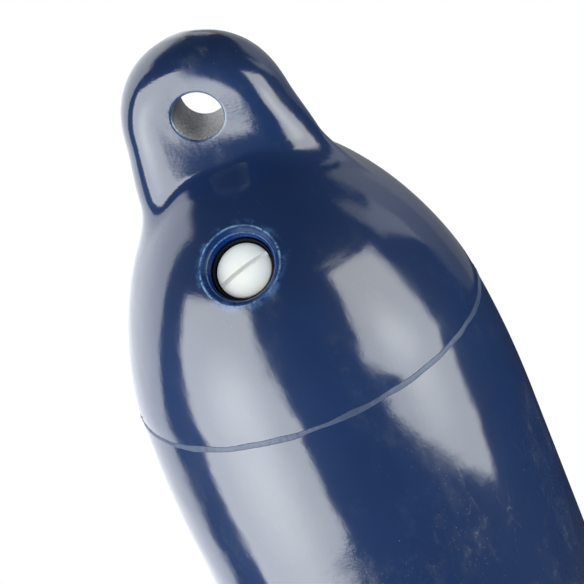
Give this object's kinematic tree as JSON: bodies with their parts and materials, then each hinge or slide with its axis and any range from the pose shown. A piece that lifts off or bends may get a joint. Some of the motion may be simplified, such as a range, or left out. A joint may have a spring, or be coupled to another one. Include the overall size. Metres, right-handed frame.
{
  "type": "boat fender",
  "caption": "Inflatable cylindrical boat fender with a flat rope eye at each end and a screw valve plug in a shoulder pocket.",
  "frame": {"origin": "centre of the top eye's hole, where the rope carries the fender", "axes": "+Z along the body's axis towards the top eye; Y along the eye holes, the valve on the -Y side; X across the eyes' width"},
  "size_m": [0.16, 0.16, 0.58],
  "materials": {
    "navy_pvc": "glossy soft PVC, lightly scuffed",
    "white_nylon": "satin moulded",
    "black_rubber": "matte"
  },
  "bodies": {
    "fender": {"fender_body": "navy_pvc"},
    "seal": {"plug_seal": "black_rubber"},
    "plug": {"valve_plug": "white_nylon"}
  },
  "joints": [
    {"name": "plug_lift", "type": "slide", "parent": "fender", "child": "seal", "axis": [0, -0.7071, 0.7071], "range_m": [0, 0.008]},
    {"name": "plug_turn", "type": "hinge", "parent": "seal", "child": "plug", "pos_m": [0, -0.04828, -0.05439], "axis": [0, -0.7071, 0.7071], "range_deg": [0, 1440]}
  ],
  "couplings": [
    {"joint": "plug_turn", "follows": "plug_lift", "rad_per_m": 3141.6}
  ]
}
